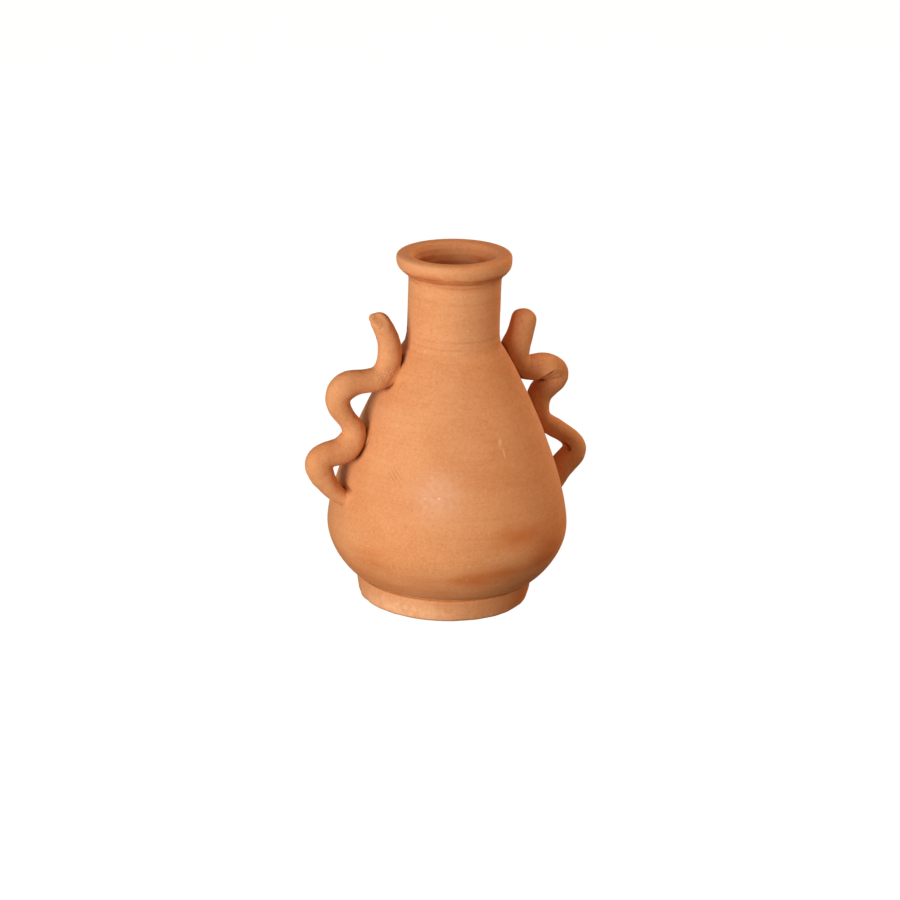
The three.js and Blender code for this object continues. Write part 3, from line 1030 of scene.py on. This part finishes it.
def clay_relief(tree, where, layers, depths):
    """Height of the clay's grain in millimetres, with each layer added at its depth."""
    total = maths(tree, "MULTIPLY", clouds(tree, where, *FINE_GRAIN), FINE_GRAIN_RELIEF)
    for name, depth in depths.items():
        total = maths(tree, "ADD", total, maths(tree, "MULTIPLY", layers[name], depth))
    return total


def clay_finish(tree, height, colour, roughness, relief, sheen):
    """Joins colour, roughness, relief and sheen to a matte clay surface, with painted shade in creases."""
    # Painted shade: creases found by ambient occlusion are darkened, as shade falls there
    inputs = {"Distance": CREASE_REACH * MM}
    openness = add_node(tree, "ShaderNodeAmbientOcclusion", inputs, samples=CREASE_SAMPLES).outputs["AO"]
    above_foot = eased(tree, height, *CREASE_SHADE_ABOVE_FOOT)
    below_lip = eased(tree, height, *CREASE_SHADE_BELOW_LIP)
    crease_shade_strength = maths(tree, "MULTIPLY", above_foot, below_lip)
    bump = add_node(tree, "ShaderNodeBump", {"Strength": 1, "Distance": MM, "Height": relief})
    inputs = {
        "Base Color": tinted(tree, colour, PAINTED_SHADE, eased(tree, openness, *CREASE_SHADE), crease_shade_strength),
        "Roughness": roughness,
        "Specular IOR Level": sheen,
        "Normal": bump.outputs["Normal"],
    }
    surface = add_node(tree, "ShaderNodeBsdfPrincipled", inputs)
    add_node(tree, "ShaderNodeOutputMaterial", {"Surface": surface.outputs["BSDF"]})


def low_on_vase(tree, where, height, layers, colour):
    """Chalky foot powder, partly painted light; a darker band above; patches partly painted shade."""
    # Pale powder, partly painted light on the foot's lit front and left
    powder_and_light = spot(tree, where, *POWDER_AND_LIGHT_SPOT)
    colour = tinted(tree, colour, POWDER_AND_LIGHT, powder_and_light, eased(tree, layers["mottle"], *POWDERY_AND_LIT))
    # A darker band low on the belly, just above the foot
    band = maths(tree, "MULTIPLY", eased(tree, height, *LOW_BAND_FROM), eased(tree, height, *LOW_BAND_UP_TO))
    colour = tinted(tree, colour, BURNISHED_AND_SHADED_CLAY, band, eased(tree, layers["smear"], *LOW_BAND_STREAKS))
    streaky = eased(tree, layers["smear"], *STREAKY)
    # Darker patches, partly burnishing and partly painted shade on the shaded side
    for place in BURNISHED_AND_SHADED_SPOTS:
        colour = tinted(tree, colour, BURNISHED_AND_SHADED_CLAY, spot(tree, where, *place), streaky)
    return colour


def tooled_and_shaded_neck(tree, where, height, smear, colour):
    """Tooled band partly darkened by painted shade; painted shade in the neck's lines, bore and mouth."""
    # Partly painted shade: the band under the lip is darkened over its tooling, as if the lip shaded it
    streaks = eased(tree, smear, *TOOL_STREAKS)
    band = level_ring(tree, height, TOOLED_SHADED_LEVEL, TOOLED_SHADED_HALF_WIDTH)
    colour = tinted(tree, colour, BURNISHED_AND_SHADED_CLAY, band, streaks)
    # Painted shade in the neck's lines, darker the deeper a line is cut
    for level, depth, half_width in NECK_LINES:
        line = level_ring(tree, height, level, LINE_SHADE_WIDTH * half_width)
        streaky = maths(tree, "MULTIPLY", line, streaks)
        colour = tinted(tree, colour, SOILED_AND_SHADED_CLAY, streaky, depth / FULLY_SHADED_DEPTH)
    # Painted shade in the bore, and darker still on the mouth's far inner wall
    radius = axis_distance(tree, where)
    in_bore = eased(tree, radius, *BORE_SHADE)
    colour = tinted(tree, colour, BURNISHED_AND_SHADED_CLAY, in_bore, eased(tree, height, *BORE_SHADE_ABOVE))
    mouth_shade = spot(tree, where, *BORE_SHADE_SPOT)
    return tinted(tree, colour, PAINTED_SHADE, mouth_shade, eased(tree, radius, *BORE_SHADE_INSIDE))


def marked_belly(tree, where, bloom_and_light, mottle, colour):
    """A pale bloom, partly painted light, chalky marks and short dark scrapes on the belly."""
    # Pale bloom, partly painted light where the belly faces the lamp
    colour = tinted(tree, colour, BLOOM_AND_LIGHT, bloom_and_light, eased(tree, mottle, *PATCHY))
    for place in PALE_MARKS:
        colour = tinted(tree, colour, LIME_SPECK, spot(tree, where, *place), PALE_MARK_SHARE)
    for number in range(SCRAPE_COUNT):
        middle = np.array(SCRAPE_START) + number * np.array(SCRAPE_STEP)
        scrape = spot(tree, where, middle.tolist(), SCRAPE_HALF_SIZES, SCRAPE_TILT)
        colour = tinted(tree, colour, SOILED_AND_SHADED_CLAY, scrape, SCRAPE_SHARE)
    return colour


def body_material():
    """Thrown clay: wiped round, darker above the foot, a pale bloom partly painted light, and specks."""
    material, tree, where, height = clay_material("terracotta_body")
    layers = noise_layers(tree, where, BODY_NOISES)
    layers["lime"] = specks(tree, where, *BODY_LIME)
    layers["iron"] = specks(tree, where, *BODY_IRON)
    chips = specks(tree, where, *BODY_CHIPS)
    bloom_and_light = spot(tree, where, *BLOOM_AND_LIGHT_SPOT)
    lime_share = eased(tree, bloom_and_light, *LIME_IN_BLOOM_AND_LIGHT)
    colour = layered_colour(tree, layers, DEEP_CLAY, PALE_CLAY, BODY_TINTS)
    colour = low_on_vase(tree, where, height, layers, colour)
    colour = tooled_and_shaded_neck(tree, where, height, layers["smear"], colour)
    colour = marked_belly(tree, where, bloom_and_light, layers["mottle"], colour)
    for grains in (layers["lime"], chips):
        colour = tinted(tree, colour, LIME_SPECK, grains, lime_share)
    colour = tinted(tree, colour, IRON_SPECK, layers["iron"], BODY_IRON_SHARE)
    roughness = eased(tree, layers["mottle"], *BODY_ROUGHNESS)
    relief = clay_relief(tree, where, layers, BODY_RELIEF)
    clay_finish(tree, height, colour, roughness, relief, eased(tree, height, *BODY_SHEEN))
    return material


def coil_material():
    """Rolled coil clay: finger-smoothed, painted shade in dents and folds, torn at the left upper joint."""
    material, tree, where, height = clay_material("terracotta_coil")
    layers = noise_layers(tree, where, COIL_NOISES)
    layers["lime"] = specks(tree, where, *COIL_LIME)
    layers["iron"] = specks(tree, where, *COIL_IRON)
    layers["torn"] = maths(tree, "MULTIPLY", spot(tree, where, *TORN_SPOT), layers["pits"])
    # Painted shade in the dents and folds, from the points' own values
    dent_shade = add_node(tree, "ShaderNodeAttribute", {}, attribute_name="dent_shade").outputs["Fac"]
    colour = layered_colour(tree, layers, COIL_DEEP, COIL_PALE, COIL_TINTS)
    colour = mixed(tree, dent_shade, colour, PAINTED_SHADE)
    colour = tinted(tree, colour, LIME_SPECK, layers["lime"], COIL_LIME_SHARE)
    colour = tinted(tree, colour, IRON_SPECK, layers["iron"], COIL_IRON_SHARE)
    roughness = eased(tree, layers["mottle"], *COIL_ROUGHNESS)
    relief = clay_relief(tree, where, layers, COIL_RELIEF)
    clay_finish(tree, height, colour, roughness, relief, CLAY_SHEEN)
    return material


def slip_material(name, pale, deep):
    """Smeared slip, rougher than the clay it joins, with painted shade in the left lower joint's crease."""
    material, tree, where, height = clay_material(name)
    layers = noise_layers(tree, where, SLIP_NOISES)
    colour = layered_colour(tree, layers, deep, pale, SLIP_TINTS)
    # Painted shade in the crease at the left lower joint
    colour = tinted(tree, colour, PAINTED_SHADE, spot(tree, where, *CREASE_SHADE_SPOT), CREASE_SHADE_SHARE)
    roughness = eased(tree, layers["grit"], *SLIP_ROUGHNESS)
    relief = clay_relief(tree, where, layers, SLIP_RELIEF)
    clay_finish(tree, height, colour, roughness, relief, CLAY_SHEEN)
    return material


# Stage

WHITE = (1, 1, 1, 1)
ROOM_LIGHT = (1.0, 0.62, 0.4, 1)
ROOM_LEVEL = 0.22
OVERHEAD_SHARE = 1.2
OVERHEAD_START = 0.2
FLOOR_HALF_SIZE = 4000
FLOOR_GLOW = 0.98
FLOOR_COLOUR = 0.22
FLOOR_COLOUR_SEEN = 0.12

# Soft lights: degrees round from the camera, degrees up, distance, size, watts and colour
SOFTBOXES = {
    "key_softbox": (-31, 9, 1400, 600, 17.6, (1, 1, 0.97)),
    "edge_softbox": (110, 30, 1400, 900, 10, (1, 0.72, 0.46)),
}


def seen_directly(tree):
    """1 for rays that show the background itself: from the camera, or by way of gloss or glass."""
    path = add_node(tree, "ShaderNodeLightPath", {})
    gloss = maths(tree, "MAXIMUM", path.outputs["Is Glossy Ray"], path.outputs["Is Transmission Ray"])
    return maths(tree, "MAXIMUM", path.outputs["Is Camera Ray"], gloss)


def add_room():
    """White room to the eye, with a plain warm light on the vase from all round."""
    world = bpy.data.worlds.new("room")
    bpy.context.scene.world = world
    world.use_nodes = True
    tree = world.node_tree
    tree.nodes.clear()
    direction = add_node(tree, "ShaderNodeTexCoord", {}).outputs["Generated"]
    height = add_node(tree, "ShaderNodeSeparateXYZ", {"Vector": direction}).outputs["Z"]
    level = eased(tree, height, OVERHEAD_START, 1, ROOM_LEVEL, ROOM_LEVEL * OVERHEAD_SHARE)
    lit = add_node(tree, "ShaderNodeBackground", {"Color": ROOM_LIGHT, "Strength": level})
    shown = add_node(tree, "ShaderNodeBackground", {"Color": WHITE, "Strength": 1})
    inputs = {0: seen_directly(tree), 1: lit.outputs[0], 2: shown.outputs[0]}
    room = add_node(tree, "ShaderNodeMixShader", inputs)
    add_node(tree, "ShaderNodeOutputWorld", {"Surface": room.outputs[0]})


def floor_material():
    """Pale floor that glows white to the eye over a matte grey, which takes the shadow."""
    material = bpy.data.materials.new("pale_floor")
    material.use_nodes = True
    tree = material.node_tree
    tree.nodes.clear()
    seen = seen_directly(tree)
    glow = maths(tree, "MULTIPLY", seen, FLOOR_GLOW)
    light = add_node(tree, "ShaderNodeEmission", {"Color": WHITE, "Strength": glow})
    brightness = eased(tree, seen, 0, 1, FLOOR_COLOUR, FLOOR_COLOUR_SEEN)
    grey = add_node(tree, "ShaderNodeCombineColor", {2: brightness}, mode="HSV")
    matte = add_node(tree, "ShaderNodeBsdfDiffuse", {"Color": grey.outputs[0]})
    surface = add_node(tree, "ShaderNodeAddShader", {0: light.outputs[0], 1: matte.outputs[0]})
    add_node(tree, "ShaderNodeOutputMaterial", {"Surface": surface.outputs[0]})
    return material


def add_floor():
    """Wide floor under the vase."""
    half = FLOOR_HALF_SIZE * MM
    mesh = bpy.data.meshes.new("floor")
    sheet = [(-half, -half, 0), (half, -half, 0), (half, half, 0), (-half, half, 0)]
    mesh.from_pydata(sheet, [], [(0, 1, 2, 3)])
    mesh.materials.append(floor_material())
    floor = bpy.data.objects.new("floor", mesh)
    bpy.context.scene.collection.objects.link(floor)


def around(azimuth, elevation, distance):
    """A place round the vase; azimuth 0 is in front along -Y and turns to the right."""
    turn = math.radians(azimuth)
    rise = math.radians(elevation)
    flat = math.cos(rise) * distance
    return Vector((math.sin(turn) * flat, -math.cos(turn) * flat, math.sin(rise) * distance))


def add_softbox(name, turn, elevation, distance, size, power, colour):
    """Square soft light turned to the middle of the vase."""
    lamp = bpy.data.lights.new(name, "AREA")
    lamp.size = size * MM
    lamp.energy = power
    lamp.color = colour
    box = bpy.data.objects.new(name, lamp)
    middle = Vector((0, 0, VASE_HEIGHT / 2))
    place = around(CAMERA_AZIMUTH + turn, elevation, distance)
    box.location = (middle + place) * MM
    box.rotation_mode = "QUATERNION"
    box.rotation_quaternion = (-place).to_track_quat("-Z", "Y")
    bpy.context.scene.collection.objects.link(box)


def add_camera():
    """Camera where the photograph was taken from."""
    data = bpy.data.cameras.new("camera")
    data.lens = CAMERA_LENS
    place = around(CAMERA_AZIMUTH, CAMERA_ELEVATION, CAMERA_DISTANCE)
    aim = Matrix.Rotation(CAMERA_TURN, 3, "Z") @ Vector(CAMERA_AIM)
    look = (aim - place).to_track_quat("-Z", "Y").to_matrix().to_4x4()
    roll = Matrix.Rotation(math.radians(CAMERA_ROLL), 4, "Z")
    camera = bpy.data.objects.new("camera", data)
    camera.matrix_world = Matrix.Translation(place * MM) @ look @ roll
    bpy.context.scene.collection.objects.link(camera)
    bpy.context.scene.camera = camera


# The vase
body = body_material()
coil = coil_material()
joint_slip = slip_material("terracotta_slip", PALE_CLAY, DEEP_CLAY)
seam_slip = slip_material("terracotta_seam_slip", DEEP_CLAY, BURNISHED_AND_SHADED_CLAY)
add_foot(body, seam_slip)
add_belly(body)
add_neck(body)
add_handle(
    "left_handle", LEFT_COIL, LEFT_SWAYS, LEFT_JOINTS, LEFT_DENTS, LEFT, LEFT_SEED, coil, joint_slip
)
add_handle(
    "right_handle", RIGHT_COIL, RIGHT_SWAYS, RIGHT_JOINTS, RIGHT_DENTS, RIGHT, RIGHT_SEED, coil, joint_slip
)

# Its surroundings
add_room()
add_floor()
for name, softbox in SOFTBOXES.items():
    add_softbox(name, *softbox)
add_camera()
bpy.context.scene.view_settings.view_transform = "Standard"
